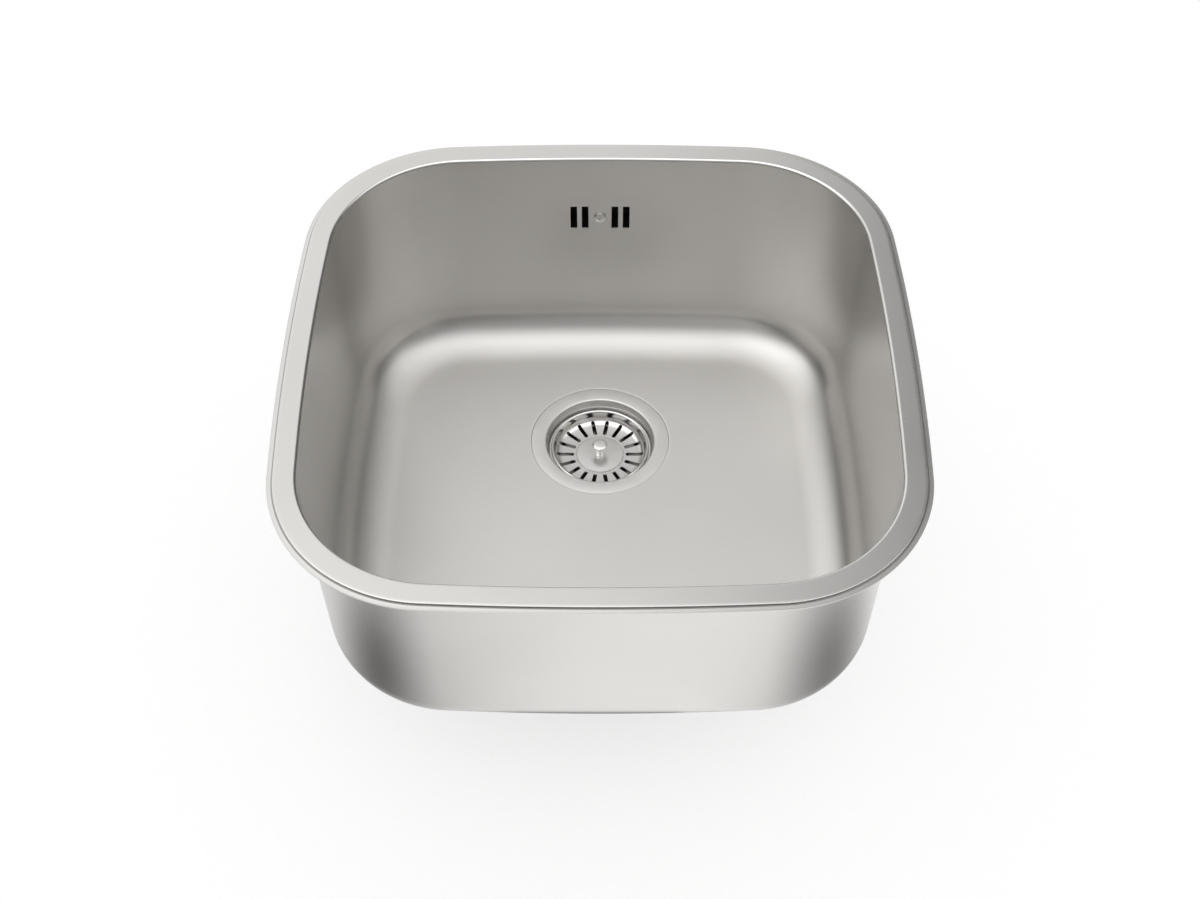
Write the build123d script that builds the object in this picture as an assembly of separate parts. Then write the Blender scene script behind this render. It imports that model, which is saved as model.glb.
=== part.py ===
from build123d import *
import os
from math import cos, radians, sin, tan

# An undermount kitchen sink: a deep pressed steel bowl with a flat rim, a basket strainer
# waste that is clamped through its floor, and an overflow behind the back wall.
# Millimetres. The origin is the middle of the opening, on the top face of the rim.
# +Z is up and +Y points to the back, where the overflow is.

# bowl and rim
sheet = 1.0
rim_half_x, rim_half_y = 227.8, 229.0
rim_corner = 115.4
rim_bow_x, rim_bow_y = 11.4, 10.3
opening_half_x, opening_half_y = 209.7, 208.8
opening_corner = 98.0
opening_bow_x, opening_bow_y = 9.6, 8.9
rim_roll = 3.0
band_width, band_step = 4.0, 1.8
band_bevel = 0.5
wall_draft = 2.0
floor_fillet = 38.0
floor_z = -187.3
roll_steps, fillet_steps = 2, 4

# waste opening: the flange lies in a shallow round recess behind the middle of the floor
drain_y = 75.4
flange_z = -187.6
flange_radius = 57.0
recess_radius, recess_depth = 58.2, 3.0
waste_hole_radius = 45.0

# waste cup, pressed from sheet: radius and depth below the flange's top
cup_seat_z, cup_floor_z, cup_screw_hole = -26.0, -31.5, 6.2
cup_points = [
    (flange_radius, -2.7), (flange_radius, 0.0), (45.0, 0.0), (43.4, -1.6),
    (41.5, -10.7), (39.6, -10.7), (39.6, cup_seat_z), (18.0, cup_seat_z),
    (18.0, cup_floor_z), (cup_screw_hole, cup_floor_z),
]
cup_outlet_radii = (8.6, 15.2)
cup_spoke_width = 5.0

# basket strainer
basket_sheet = 0.8
plate_z, disc_z, disc_radius = -18.4, -17.9, 19.4
basket_points = [
    (40.6, -10.2), (40.6, -8.7), (38.0, -8.7), (38.0, -12.5), (33.0, plate_z), (2.9, plate_z),
]
strainer_slots = 18
strainer_slot_width = 2.5
strainer_slot_radii = (21.4, 36.0)
strainer_slot_tool = 8.0
turning_gap = 0.1

# knob, stem and stopper, along the stem's axis
stem_radius = 2.85
stem_top, stem_bottom = -12.4, -36.0
stem_collar_radius, stem_collar_height = 3.6, 1.1
stem_tip_radius, stem_tip_height = 1.6, 2.5
catch_ring_z, catch_ring_radii, catch_ring_height = -32.0, (2.1, 3.0), 0.9
knob_top, knob_crown_radius, knob_crown_height = -4.8, 3.8, 0.6
knob_radius, knob_shoulder, knob_edge = 6.1, 1.5, 2.2
knob_neck_radius, knob_neck, knob_foot = 3.3, 5.6, 0.9
stopper_washer_radius, stopper_washer_height = 17.5, 1.0
stopper_lip_radius, stopper_lip_width = 24.5, 4.6
stopper_flare, stopper_hollow = 3.0, 2.0
stem_nut_radius, stem_nut_height = 4.6, 2.2
piece_gap = 0.02

# clamping: gaskets, lower body and the hollow screw
drain_gasket_radii, drain_gasket_height = (47.0, 55.0), 2.0
body_gasket_radii, body_gasket_height = (46.0, 56.0), 3.0
body_flange_radius, body_flange_height = 56.0, 3.4
body_wall = 3.3
body_points = [(46.6, -7.0), (46.6, -34.0), (41.0, -41.0), (20.6, -51.0), (20.6, -78.0)]
gusset_count, gusset_width, gusset_drop = 8, 2.4, 9.0
gusset_edge, gusset_clear_angle = 1.0, 20.0
boss_radius, boss_top, boss_bottom = 12.0, -35.5, -51.0
web_width, web_top = 3.0, -39.0
insert_radius, insert_top = 9.0, -38.0
screw_head_radius, screw_head_height, screw_head_bevel = 7.0, 3.2, 0.8
screw_shank_radius, screw_bottom, screw_clearance = 5.9, -54.0, 0.3
screw_bore_radius, screw_bore_bottom = 3.4, -44.0
screw_slot_width, screw_slot_depth = 2.2, 1.4

# overflow: four upright slots and a screw in the back wall, with a moulded housing behind
overflow_z = -59.7
overflow_slot_width, overflow_slot_height = 5.5, 22.6
overflow_slot_x = (-21.5, -12.2, 12.2, 21.5)
overflow_screw_hole = 2.75
through_cut = 20.0
housing_front_y, housing_depth = 212.0, 23.0
housing_width, housing_height, housing_corner = 66.0, 44.0, 9.0
housing_wall, housing_draft, housing_bevel = 2.4, 3.0, 3.0
housing_flange_edge, housing_flange_height = 4.0, 3.0
housing_seal_width, housing_seal_reach = 4.0, 12.0
spigot_inner_rise, spigot_root = 1.5, 10.0
overflow_boss_radius, overflow_boss_floor, overflow_shank_gap = 6.0, 1.0, 0.4
overflow_insert_radius, overflow_insert_length = 3.9, 9.0
overflow_shank_radius, overflow_shank_end = 2.45, 226.0
overflow_head_radius, overflow_head_height = 4.95, 2.4
overflow_crown_radius, overflow_crown_height = 3.4, 0.8
overflow_head_root = 0.5
cross_length, cross_width, cross_depth = 5.2, 1.1, 1.2

# overflow hose and the two threaded spigots that it joins
spigot_bore, spigot_radius, spigot_thread_radius = 9.2, 11.6, 13.0
spigot_thread_length = 11.0
lower_spigot_depth = -24.0
lower_spigot_reach = 68.0
upper_spigot_y, upper_spigot_end = 225.5, -98.0
hose_bore, hose_valley, hose_crest, hose_cuff = 9.0, 10.4, 12.4, 11.2
hose_flange_radius, hose_flange_height = 12.9, 2.0
hose_bend = 45.0
hose_cuff_length = 9.0
rib_pitch, rib_flank, rib_top = 12.8, 2.0, 4.2
bore_bend_steps = 5
seal_height, seal_radii = 2.5, (9.4, 12.7)
nut_radius, nut_bore, nut_length, nut_end_wall = 17.0, 13.1, 19.0, 3.0
nut_sides, nut_bevel = 8, 1.2
nut_hole_radius = 11.6

# sound-deadening pad under the floor
pad_width, pad_length, pad_centre_y, pad_corner, pad_height = 170.0, 130.0, -62.0, 18.0, 2.5

drain_place = Pos(0, drain_y, flange_z)


def bowed_outline(half_x, half_y, corner_radius, bow_x, bow_y):
    """A rounded square whose four sides are long shallow arcs that bulge outwards."""
    x, y = half_x - bow_x, half_y - bow_y
    sides = [
        ThreePointArc((x, -y), (half_x, 0), (x, y)),
        ThreePointArc((x, y), (0, half_y), (-x, y)),
        ThreePointArc((-x, y), (-half_x, 0), (-x, -y)),
        ThreePointArc((-x, -y), (0, -half_y), (x, -y)),
    ]
    outline = make_face(sides)
    return fillet(outline.vertices(), corner_radius)


def inset_outline(outline, inset):
    """The outline moved inwards by inset: each arc keeps its centre and changes its radius."""
    arcs = []
    for edge in outline.edges():
        centre, share = edge.arc_center, 1 - inset / edge.radius
        arcs.append(ThreePointArc(*[centre + (edge @ place - centre) * share for place in (0, 0.5, 1)]))
    return make_face(arcs)


def opening_outline():
    return bowed_outline(opening_half_x, opening_half_y, opening_corner, opening_bow_x, opening_bow_y)


def rim_outline():
    return bowed_outline(rim_half_x, rim_half_y, rim_corner, rim_bow_x, rim_bow_y)


def turned(outline):
    """The outline, drawn as radius and height, turned round the upright axis."""
    return revolve(Plane.XZ * outline, Axis.Z)


def beside(points, distance):
    """The bent line moved sideways by distance, to its left, with sharp corners."""
    runs = [(Vector(*end) - Vector(*start)).normalized() for start, end in zip(points, points[1:])]
    moved = []
    for point, before, after in zip(points, runs[:1] + runs, runs + runs[-1:]):
        left = Vector(-before.Y - after.Y, before.X + after.X)
        share = distance / (1 + before.dot(after))
        moved.append((point[0] + share * left.X, point[1] + share * left.Y))
    return moved


def pressed(points, thickness):
    """Sheet of one thickness, below and outside a bent line, turned round the upright axis."""
    return turned(make_face(Polyline(*points, *reversed(beside(points, thickness)), close=True)))


def ring(outer, inner, low, high):
    return Pos(0, 0, low) * extrude(Circle(outer) - Circle(inner), amount=high - low)


def rod(radius, low, high):
    return Pos(0, 0, low) * extrude(Circle(radius), amount=high - low)


def along_y(shape):
    """Turns a shape that was made along +Z so that it points along +Y."""
    return Rot(-90, 0, 0) * shape


def wall_profile(gap):
    """How far in from the opening, and how high, the bowl's skin lies: roll, drafted wall and fillet.

    Both curves keep their centres when the skin is grown outwards by gap.
    """
    draft = radians(wall_draft)
    roll, bend = rim_roll - gap, floor_fillet + gap
    bend_z = floor_z + floor_fillet
    bend_in = (rim_roll + floor_fillet) / cos(draft) - rim_roll - (rim_roll + bend_z) * tan(draft)
    line = []
    for step in range(roll_steps + 1):
        angle = radians(90) - (radians(90) - draft) * step / roll_steps
        line.append((roll * cos(angle) - rim_roll, roll * sin(angle) - rim_roll))
    for step in range(fillet_steps + 1):
        angle = draft + (radians(90) - draft) * step / fillet_steps
        line.append((bend_in - bend * cos(angle), bend_z - bend * sin(angle)))
    return line


def bowl_form(gap):
    """The space in the bowl, grown outwards by gap."""
    opening = opening_outline()
    levels = [Pos(0, 0, height) * inset_outline(opening, inset) for inset, height in wall_profile(gap)]
    return loft(levels, ruled=True)


def rim():
    """A flat land, then a small step down to a narrow outer band."""
    land = inset_outline(rim_outline(), band_width)
    inside = inset_outline(rim_outline(), band_width + sheet)
    top = extrude(land, amount=-sheet)
    top = chamfer(top.edges().group_by(Axis.Z)[-1], band_bevel)
    step = Pos(0, 0, -sheet) * extrude(land - inside, amount=-band_step)
    band = Pos(0, 0, -band_step) * extrude(rim_outline() - inside, amount=-sheet)
    return top + step + band


def overflow_cuts():
    """The four slots and the screw hole, as tools that run through the back wall."""
    wall = Pos(0, opening_half_y, overflow_z)
    slot = Box(overflow_slot_width, through_cut, overflow_slot_height)
    cuts = [wall * Pos(x, 0, 0) * slot for x in overflow_slot_x]
    cuts.append(wall * along_y(rod(overflow_screw_hole, -through_cut / 2, through_cut / 2)))
    return cuts


def bowl():
    shell = rim() + bowl_form(sheet)
    shell += drain_place * rod(recess_radius + sheet, -recess_depth - sheet, 0)
    shell -= bowl_form(0)
    shell -= drain_place * rod(recess_radius, -recess_depth, recess_depth)
    shell -= drain_place * rod(waste_hole_radius, -through_cut, 0)
    for cut in overflow_cuts():
        shell -= cut
    return shell


def sound_pad():
    """A flat sheet of damping rubber, stuck under the floor in front of the waste."""
    outline = RectangleRounded(pad_width, pad_length, pad_corner)
    return Pos(0, pad_centre_y, floor_z - sheet) * extrude(outline, amount=-pad_height)


def drain_cup():
    cup = pressed(cup_points, sheet)
    inner, outer = cup_outlet_radii
    outlets = Circle(outer) - Circle(inner)
    outlets -= Rectangle(3 * outer, cup_spoke_width)
    outlets -= Rectangle(cup_spoke_width, 3 * outer)
    return cup - Pos(0, 0, cup_floor_z) * extrude(outlets, amount=2 * sheet, both=True)


def basket():
    body = pressed(basket_points, basket_sheet) + ring(disc_radius, basket_points[-1][0], plate_z, disc_z)
    start, end = strainer_slot_radii
    slot = extrude(SlotOverall(end - start, strainer_slot_width), amount=strainer_slot_tool)
    slot = Pos((start + end) / 2, 0, disc_z - strainer_slot_tool / 2) * slot
    for turn in range(strainer_slots):
        body -= Rot(0, 0, (turn + 0.5) * 360 / strainer_slots + 90) * slot
    return body


def stem():
    shoulder = stem_bottom + stem_tip_height
    outline = Polyline(
        (0, stem_bottom), (stem_tip_radius, stem_bottom), (stem_radius, shoulder),
        (stem_radius, stem_top), (0, stem_top), close=True,
    )
    collar_z = disc_z + turning_gap
    collar = rod(stem_collar_radius, collar_z, collar_z + stem_collar_height)
    return turned(make_face(outline)) + collar - catch_ring()


def catch_ring():
    """A split spring ring in the stem's groove, which holds the strainer up when it is lifted a little."""
    inner, outer = catch_ring_radii
    return ring(outer, inner, catch_ring_z, catch_ring_z + catch_ring_height)


def knob():
    """A mushroom: a crowned head on a cone that narrows to the neck, bored for the stem."""
    foot = stem_top - knob_foot
    profile = Polyline(
        (0, knob_top),
        (knob_crown_radius, knob_top - knob_crown_height),
        (knob_radius, knob_top - knob_shoulder),
        (knob_radius, knob_top - knob_edge),
        (knob_neck_radius, knob_top - knob_neck),
        (knob_neck_radius, foot),
        (0, foot),
        close=True,
    )
    return turned(make_face(profile)) - rod(stem_radius, stem_bottom, stem_top)


def basket_washer():
    high = plate_z - basket_sheet - turning_gap
    return ring(stopper_washer_radius, stem_radius + piece_gap, high - stopper_washer_height, high)


def stopper_seal():
    """A rubber disc with a flared lip that rests on the floor of the waste cup."""
    top = plate_z - basket_sheet - turning_gap - stopper_washer_height
    hollow = cup_seat_z + stopper_hollow
    lip_inside = stopper_lip_radius - stopper_lip_width
    profile = Polyline(
        (stem_radius + piece_gap, top),
        (stopper_lip_radius - stopper_flare, top),
        (stopper_lip_radius, cup_seat_z),
        (lip_inside, cup_seat_z),
        (lip_inside, hollow),
        (stem_radius + piece_gap, hollow),
        close=True,
    )
    return turned(make_face(profile))


def stem_nut():
    top = cup_seat_z + stopper_hollow
    hexagon = RegularPolygon(stem_nut_radius, 6) - Circle(stem_radius + piece_gap)
    return Pos(0, 0, top) * extrude(hexagon, amount=-stem_nut_height)


def waste_screw():
    """A hollow screw: the stem's lower end and its catch ring drop into the bore."""
    top = cup_floor_z + screw_head_height
    head = rod(screw_head_radius, cup_floor_z, top)
    head = chamfer(head.edges().group_by(Axis.Z)[-1], screw_head_bevel)
    shank = rod(screw_shank_radius, screw_bottom, cup_floor_z)
    slot = Pos(0, 0, top) * Box(2 * screw_head_radius + 1, screw_slot_width, 2 * screw_slot_depth)
    return head + shank - rod(screw_bore_radius, screw_bore_bottom, top) - slot


def screw_insert():
    return ring(insert_radius, screw_shank_radius + piece_gap, boss_bottom, insert_top)


def drain_gasket():
    inner, outer = drain_gasket_radii
    return ring(outer, inner, -recess_depth, -recess_depth + drain_gasket_height)


def body_gasket():
    inner, outer = body_gasket_radii
    top = -recess_depth - sheet
    return ring(outer, inner, top - body_gasket_height, top)


def waste_body():
    """The moulded lower half: flange, bowl and threaded outlet, with a spigot for the overflow hose."""
    top = body_points[0][1]
    shell = pressed(body_points, body_wall)
    flange = ring(body_flange_radius, body_points[0][0], top - body_flange_height, top)
    inside = turned(make_face(Polyline(*body_points, (0, body_points[-1][1]), (0, top), close=True)))
    boss = rod(boss_radius, boss_bottom, boss_top)
    web = Box(2 * body_points[0][0], web_width, web_top - boss_bottom)
    web = Pos(0, 0, (boss_bottom + web_top) / 2) * web
    body = shell + flange + gussets()
    for turn in (45, 135):
        body += (Rot(0, 0, turn) * web) & inside
    body += boss
    body -= rod(insert_radius, boss_bottom, insert_top)
    body -= rod(screw_shank_radius + screw_clearance, boss_bottom, 0)
    spigot, bore = lower_spigot(inside)
    return body + spigot - bore


def gussets():
    """Small upright webs that brace the flange against the wall, left out where the spigot is."""
    wall = body_points[0][0] + body_wall
    top = body_points[0][1] - body_flange_height
    root, tip = wall - gusset_edge, body_flange_radius - gusset_edge
    web = Polyline(
        (root, top + gusset_edge), (tip, top + gusset_edge), (tip, top), (wall, top - gusset_drop),
        (root, top - gusset_drop), close=True,
    )
    plate = extrude(Plane.XZ * make_face(web), amount=gusset_width / 2, both=True)
    turns = [(step + 0.5) * 360 / gusset_count for step in range(gusset_count)]
    return [Rot(0, 0, turn) * plate for turn in turns if abs(turn - 90) > gusset_clear_angle]


def lower_spigot(inside):
    """The spigot out of the back of the lower body, and its bore."""
    start = body_points[0][0]
    tube = rod(spigot_radius, start, lower_spigot_reach)
    thread = rod(spigot_thread_radius, lower_spigot_reach - spigot_thread_length, lower_spigot_reach)
    axis = Pos(0, 0, lower_spigot_depth)
    spigot = axis * along_y(tube + thread) - inside
    bore = axis * along_y(rod(spigot_bore, start - spigot_root, lower_spigot_reach))
    return spigot, bore


def housing_outline(growth):
    """The housing's rounded outline, larger all round by growth."""
    width, height = housing_width + 2 * growth, housing_height + 2 * growth
    return RectangleRounded(width, height, housing_corner + growth)


def behind_wall(shape):
    """Turns a shape that was made along +Z to point backwards from the overflow's middle."""
    return Pos(0, housing_front_y, overflow_z) * along_y(shape)


def overflow_housing():
    """A moulded box, open towards the slots, that drains into a spigot pointing down."""
    block = extrude(housing_outline(0), amount=housing_depth, taper=housing_draft)
    block = behind_wall(chamfer(block.faces().sort_by(Axis.Z)[-1].edges(), housing_bevel))
    flange = behind_wall(extrude(housing_outline(housing_flange_edge), amount=housing_flange_height))
    inner_depth = housing_depth - housing_wall
    hollow = behind_wall(extrude(housing_outline(-housing_wall), amount=inner_depth, taper=housing_draft))
    boss = behind_wall(rod(overflow_boss_radius, 0, housing_depth - overflow_boss_floor))
    shank_space = rod(overflow_shank_radius + overflow_shank_gap, 0, inner_depth)
    pocket = behind_wall(rod(overflow_insert_radius, 0, overflow_insert_length) + shank_space)
    inner_end = overflow_z - housing_height / 2 + housing_wall + spigot_inner_rise
    thread_end = upper_spigot_end + spigot_thread_length
    spigot_axis = Pos(0, upper_spigot_y, 0)
    spigot = spigot_axis * rod(spigot_radius, upper_spigot_end, overflow_z - spigot_root)
    thread = spigot_axis * rod(spigot_thread_radius, upper_spigot_end, thread_end)
    bore = spigot_axis * rod(spigot_bore, upper_spigot_end, inner_end)
    return block + flange + spigot - hollow + thread + boss - pocket - bore


def overflow_gasket():
    """A soft frame, wedge-shaped so that it fills the space between drafted wall and housing."""
    edge = housing_seal_width / 2
    frame = housing_outline(edge) - housing_outline(-edge)
    return behind_wall(extrude(frame, amount=-housing_seal_reach)) - bowl_form(sheet)


def overflow_insert():
    bore = overflow_shank_radius + piece_gap
    return behind_wall(ring(overflow_insert_radius, bore, 0, overflow_insert_length))


def overflow_screw(wall):
    """A cross-headed screw with a low bevelled head, seen between the slots."""
    face_y = opening_half_y + overflow_z * tan(radians(wall_draft))
    outline = Polyline(
        (0, -overflow_head_root), (overflow_head_radius, -overflow_head_root),
        (overflow_head_radius, overflow_crown_height), (overflow_crown_radius, overflow_head_height),
        (0, overflow_head_height), close=True,
    )
    head = turned(make_face(outline))
    bar = Pos(0, 0, overflow_head_height) * Box(cross_length, cross_width, 2 * cross_depth)
    head = head - bar - Rot(0, 0, 90) * bar
    head = Pos(0, face_y, overflow_z) * Rot(90, 0, 0) * head
    shank = Pos(0, 0, overflow_z) * along_y(rod(overflow_shank_radius, face_y, overflow_shank_end))
    return head - wall + shank


def hose_line():
    """The hose's middle: straight back from the lower body, one bend, and straight up."""
    start_y = drain_y + lower_spigot_reach + seal_height
    low_z = flange_z + lower_spigot_depth
    return FilletPolyline(
        (0, start_y, low_z),
        (0, upper_spigot_y, low_z),
        (0, upper_spigot_y, upper_spigot_end - seal_height),
        radius=hose_bend,
    )


def hose_section(line, distance, radius):
    """A circle across the hose, always drawn from the same sideways direction."""
    share = distance / line.length
    plane = Plane(origin=line @ share, x_dir=(1, 0, 0), z_dir=line % share)
    return plane * Circle(radius)


def overflow_hose():
    """A corrugated tube: each rib is four circles, joined straight to the next."""
    line = hose_line()
    ends = [(0, hose_flange_radius), (hose_flange_height, hose_flange_radius)]
    ends += [(hose_flange_height, hose_cuff), (hose_cuff_length, hose_cuff)]
    ribbed = line.length - 2 * hose_cuff_length
    count = round(ribbed / rib_pitch)
    pitch = ribbed / count
    steps = list(ends)
    for index in range(count):
        start = hose_cuff_length + index * pitch
        valley = pitch - 2 * rib_flank - rib_top
        steps.append((start + valley / 2, hose_valley))
        steps.append((start + valley / 2 + rib_flank, hose_crest))
        steps.append((start + valley / 2 + rib_flank + rib_top, hose_crest))
        steps.append((start + pitch - valley / 2, hose_valley))
    steps += [(line.length - distance, radius) for distance, radius in reversed(ends)]
    skin = loft([hose_section(line, distance, radius) for distance, radius in steps], ruled=True)
    print("hose length", round(line.length, 1), "bend radius", hose_bend, "ribs", count)
    return skin - hose_bore_form(line)


def hose_bore_form(line):
    """The hose's bore: straight, round the bend in even steps, and straight again."""
    bend_start = upper_spigot_y - hose_bend - drain_y - lower_spigot_reach - seal_height
    bend_length = radians(90) * hose_bend
    steps = [bend_start + bend_length * step / bore_bend_steps for step in range(bore_bend_steps + 1)]
    return loft([hose_section(line, step, hose_bore) for step in [0, *steps, line.length]], ruled=True)


def nut_blank():
    """A cap nut along +Z, open at the start and with a hole for the hose at its end."""
    body = extrude(RegularPolygon(nut_radius, nut_sides), amount=nut_length)
    body = chamfer(body.edges().group_by(Axis.Z)[-1], nut_bevel)
    body -= rod(nut_bore, 0, nut_length - nut_end_wall)
    return body - rod(nut_hole_radius, 0, nut_length)


def nut_start():
    """How far the nut reaches back over the spigot from the hose's end."""
    return nut_length - nut_end_wall - hose_flange_height


def lower_hose_nut():
    line = hose_line()
    return Pos(line @ 0) * along_y(Pos(0, 0, -nut_start()) * nut_blank())


def upper_hose_nut():
    line = hose_line()
    return Pos(line @ 1) * Rot(180, 0, 0) * Pos(0, 0, -nut_start()) * nut_blank()


def lower_hose_seal():
    inner, outer = seal_radii
    return Pos(hose_line() @ 0) * along_y(ring(outer, inner, -seal_height, 0))


def upper_hose_seal():
    inner, outer = seal_radii
    return Pos(hose_line() @ 1) * ring(outer, inner, 0, seal_height)


def all_pieces():
    """Every piece by its name, each in its place."""
    sink = bowl()
    at_drain = {
        "drain_cup": drain_cup(),
        "drain_gasket": drain_gasket(),
        "body_gasket": body_gasket(),
        "waste_body": waste_body(),
        "waste_screw": waste_screw(),
        "screw_insert": screw_insert(),
        "basket": basket(),
        "basket_stem": stem(),
        "basket_knob": knob(),
        "basket_washer": basket_washer(),
        "stopper_seal": stopper_seal(),
        "stem_nut": stem_nut(),
        "catch_ring": catch_ring(),
    }
    pieces = {"bowl": sink, "sound_pad": sound_pad()}
    pieces.update({name: drain_place * shape for name, shape in at_drain.items()})
    pieces["overflow_housing"] = overflow_housing()
    pieces["overflow_gasket"] = overflow_gasket()
    pieces["overflow_insert"] = overflow_insert()
    pieces["overflow_screw"] = overflow_screw(sink)
    pieces["overflow_hose"] = overflow_hose()
    pieces["lower_hose_nut"] = lower_hose_nut()
    pieces["upper_hose_nut"] = upper_hose_nut()
    pieces["lower_hose_seal"] = lower_hose_seal()
    pieces["upper_hose_seal"] = upper_hose_seal()
    return pieces


os.makedirs("parts", exist_ok=True)
for name, shape in all_pieces().items():
    export_step(shape, f"parts/{name}.step")
    print(name, round(shape.volume), len(shape.faces()))
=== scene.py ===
from math import atan2, cos, hypot, pi, radians, sin, tan

import bmesh
import bpy
import numpy as np
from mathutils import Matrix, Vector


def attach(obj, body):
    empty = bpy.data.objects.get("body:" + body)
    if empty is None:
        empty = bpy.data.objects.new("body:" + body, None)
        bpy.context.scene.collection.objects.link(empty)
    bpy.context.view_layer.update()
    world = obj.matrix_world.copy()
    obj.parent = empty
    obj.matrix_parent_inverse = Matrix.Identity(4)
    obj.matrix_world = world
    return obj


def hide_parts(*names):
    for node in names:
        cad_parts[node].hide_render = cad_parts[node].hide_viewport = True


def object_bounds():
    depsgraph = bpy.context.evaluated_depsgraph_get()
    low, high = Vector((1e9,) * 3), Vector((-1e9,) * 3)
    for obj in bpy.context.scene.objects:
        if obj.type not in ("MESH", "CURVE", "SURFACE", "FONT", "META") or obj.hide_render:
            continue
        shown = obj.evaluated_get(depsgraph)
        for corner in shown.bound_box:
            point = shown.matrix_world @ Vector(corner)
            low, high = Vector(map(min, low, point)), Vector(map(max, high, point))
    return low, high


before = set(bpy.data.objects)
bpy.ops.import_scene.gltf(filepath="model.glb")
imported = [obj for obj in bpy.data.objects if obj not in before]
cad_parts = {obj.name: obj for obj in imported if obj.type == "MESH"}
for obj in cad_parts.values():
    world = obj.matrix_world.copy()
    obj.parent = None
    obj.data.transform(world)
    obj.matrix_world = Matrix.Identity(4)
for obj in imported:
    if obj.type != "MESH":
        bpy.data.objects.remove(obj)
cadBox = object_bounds()
print("frame loaded:", len(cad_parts), "nodes")

# An undermount kitchen sink. +Y is the back wall with the overflow, and the origin is the middle of the
# opening on top of the rim. Sizes in the dictionaries of pieces are millimetres, and place() turns them
# into metres. Finishes and the studio are in metres.
millimetre = 0.001
wasteAxis = (0.0, 75.4, -187.6)              # the middle of the waste's flange, on its top
tightestBend = 0.08                          # the smallest radius inside a bend of sheet
slack = 0.001                                # room for rounding where two radii are compared
mergeUnder, dissolveUnder = 0.000002, 0.0000001     # metres


def roundLine(corners, radii, steps=8):
    # A bent line with rounded corners. At each corner an arc of the given radius starts
    # radius * tan(half the turn) before it. Returns the points and, for each, the step to the left
    # that moves the line sideways by 1.
    corners = np.array(corners, float)
    runs = np.diff(corners, axis=0)
    runs /= np.linalg.norm(runs, axis=1)[:, None]
    lefts = np.stack([-runs[:, 1], runs[:, 0]], 1)
    points, sides = [corners[:1]], [lefts[:1]]
    for index, radius in enumerate(radii):
        before, after = runs[index], runs[index + 1]
        turn = atan2(before[0] * after[1] - before[1] * after[0], before @ after)
        if radius == 0:
            points.append(corners[index + 1][None])
            sides.append(((lefts[index] + lefts[index + 1]) / (1 + before @ after))[None])
            continue
        angles = np.linspace(0, turn, steps + 1)
        normals = np.stack([
            lefts[index][0] * np.cos(angles) - lefts[index][1] * np.sin(angles),
            lefts[index][0] * np.sin(angles) + lefts[index][1] * np.cos(angles),
        ], 1)
        bend = radius * np.sign(turn)
        start = corners[index + 1] - before * radius * tan(abs(turn) / 2)
        points.append(start + bend * (lefts[index] - normals))
        sides.append(normals)
    points.append(corners[-1:])
    sides.append(lefts[-1:])
    return np.concatenate(points), np.concatenate(sides)


def sheetLine(corners, radii, thickness, steps=6):
    # A bent line and the step to its other side, thickness to the left. Both sides keep round corners:
    # a left turn is tighter on the other side, but never tighter than the tightest bend.
    line = roundLine(corners, radii, steps)[0]
    flat, bare = roundLine(corners, [0] * len(radii))
    runs = np.diff(np.array(corners, float), axis=0)
    left = np.sign(runs[:-1, 0] * runs[1:, 1] - runs[:-1, 1] * runs[1:, 0])
    otherRadii = np.maximum(np.array(radii) - left * thickness, tightestBend)
    other = roundLine(flat + bare * thickness, otherRadii, steps)[0]
    return line, (other - line) / thickness


def withStops(line, side, stops, axis):
    # The same line with extra points where its radius (axis 0) or its height (axis 1) falls to each stop.
    travel = np.concatenate([[0], np.cumsum(np.linalg.norm(np.diff(line, axis=0), axis=1))])
    extra = np.interp(-np.array(stops), -line[:, axis], travel)
    every = np.unique(np.round(np.concatenate([travel, extra]), 6))
    blend = [np.interp(every, travel, column) for column in (*line.T, *side.T)]
    return np.stack(blend[:2], 1), np.stack(blend[2:], 1)


def ringPoints(radius, height, angles):
    # (radius cos a, radius sin a, height), which is a point round the upright axis
    return np.stack([radius * np.cos(angles), radius * np.sin(angles), height + 0 * angles], 2)


def turned(line, angles):
    # A line of radii and heights carried round the upright axis. Each of its points gives a row of points.
    angles = np.broadcast_to(angles, (len(line), np.shape(angles)[-1]))
    return ringPoints(line[:, :1], line[:, 1:], angles)


def evenAngles(count):
    return np.arange(count) * 2 * pi / count


def place(points, at=(0, 0, 0)):
    return (np.asarray(points) + np.array(at)) * millimetre


def toMesh(name, points, faces, coordinates=None, smoothUnder=35):
    # One closed mesh: doubles merged, faces outwards, edges sharper than the angle kept sharp.
    mesh = bpy.data.meshes.new(name)
    mesh.from_pydata(points.reshape(-1, 3), [], faces)
    if coordinates is not None:
        layer = mesh.uv_layers.new(name="surface")
        corners = np.zeros(len(mesh.loops), np.int32)
        mesh.loops.foreach_get("vertex_index", corners)
        layer.data.foreach_set("uv", coordinates.reshape(-1, 2)[corners].astype(np.float32).ravel())
    work = bmesh.new()
    work.from_mesh(mesh)
    bmesh.ops.remove_doubles(work, verts=work.verts, dist=mergeUnder)
    bmesh.ops.dissolve_degenerate(work, edges=work.edges, dist=dissolveUnder)
    bmesh.ops.recalc_face_normals(work, faces=work.faces)
    work.to_mesh(mesh)
    work.free()
    mesh.shade_smooth()
    mesh.set_sharp_from_angle(angle=radians(smoothUnder))
    piece = bpy.data.objects.new(name, mesh)
    bpy.context.scene.collection.objects.link(piece)
    return piece


def ringFaces(rows, columns):
    # Faces of a grid whose every row closes on itself, such as a turned profile.
    row, column = np.mgrid[0:rows - 1, 0:columns]
    after = (column + 1) % columns
    corners = [row * columns + column, row * columns + after,
               (row + 1) * columns + after, (row + 1) * columns + column]
    return np.stack(corners, 2).reshape(-1, 4)


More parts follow.
